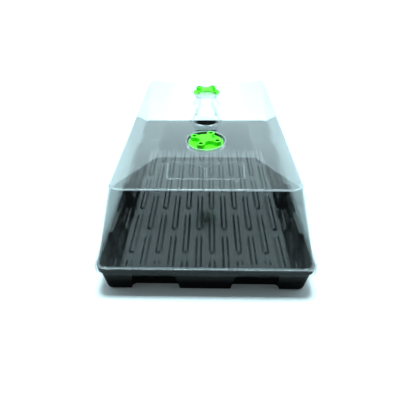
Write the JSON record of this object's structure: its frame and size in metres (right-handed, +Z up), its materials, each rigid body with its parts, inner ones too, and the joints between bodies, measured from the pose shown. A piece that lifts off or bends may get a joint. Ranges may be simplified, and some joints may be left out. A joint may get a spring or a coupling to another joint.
{
  "type": "seed propagator",
  "caption": "Black ribbed seed tray under a tapered clear dome with a hipped roof, a moulded grip and green rotary vents.",
  "frame": {"origin": "on the bench, under the middle of the tray", "axes": "+Z up, +Y along the tray's length, +X across it"},
  "size_m": [0.24, 0.38, 0.1484],
  "materials": {
    "tray": "glossy black thermoformed sheet",
    "dome": "clear thermoformed sheet",
    "vent": "lime green moulded plastic"
  },
  "bodies": {
    "tray": {"tray": "tray"},
    "dome": {"dome": "dome"},
    "front_vent": {"front_vent_dial": "vent"},
    "rear_vent": {"rear_vent_dial": "vent"}
  },
  "joints": [
    {"name": "dome_lift", "type": "slide", "parent": "tray", "child": "dome", "axis": [0, 0, 1], "range_m": [0, 0.15]},
    {"name": "front_vent_turn", "type": "hinge", "parent": "dome", "child": "front_vent", "pos_m": [0, -0.08, 0.1316], "axis": [0, 0, 1], "continuous": true},
    {"name": "rear_vent_turn", "type": "hinge", "parent": "dome", "child": "rear_vent", "pos_m": [0, 0.08, 0.1316], "axis": [0, 0, 1], "continuous": true}
  ]
}
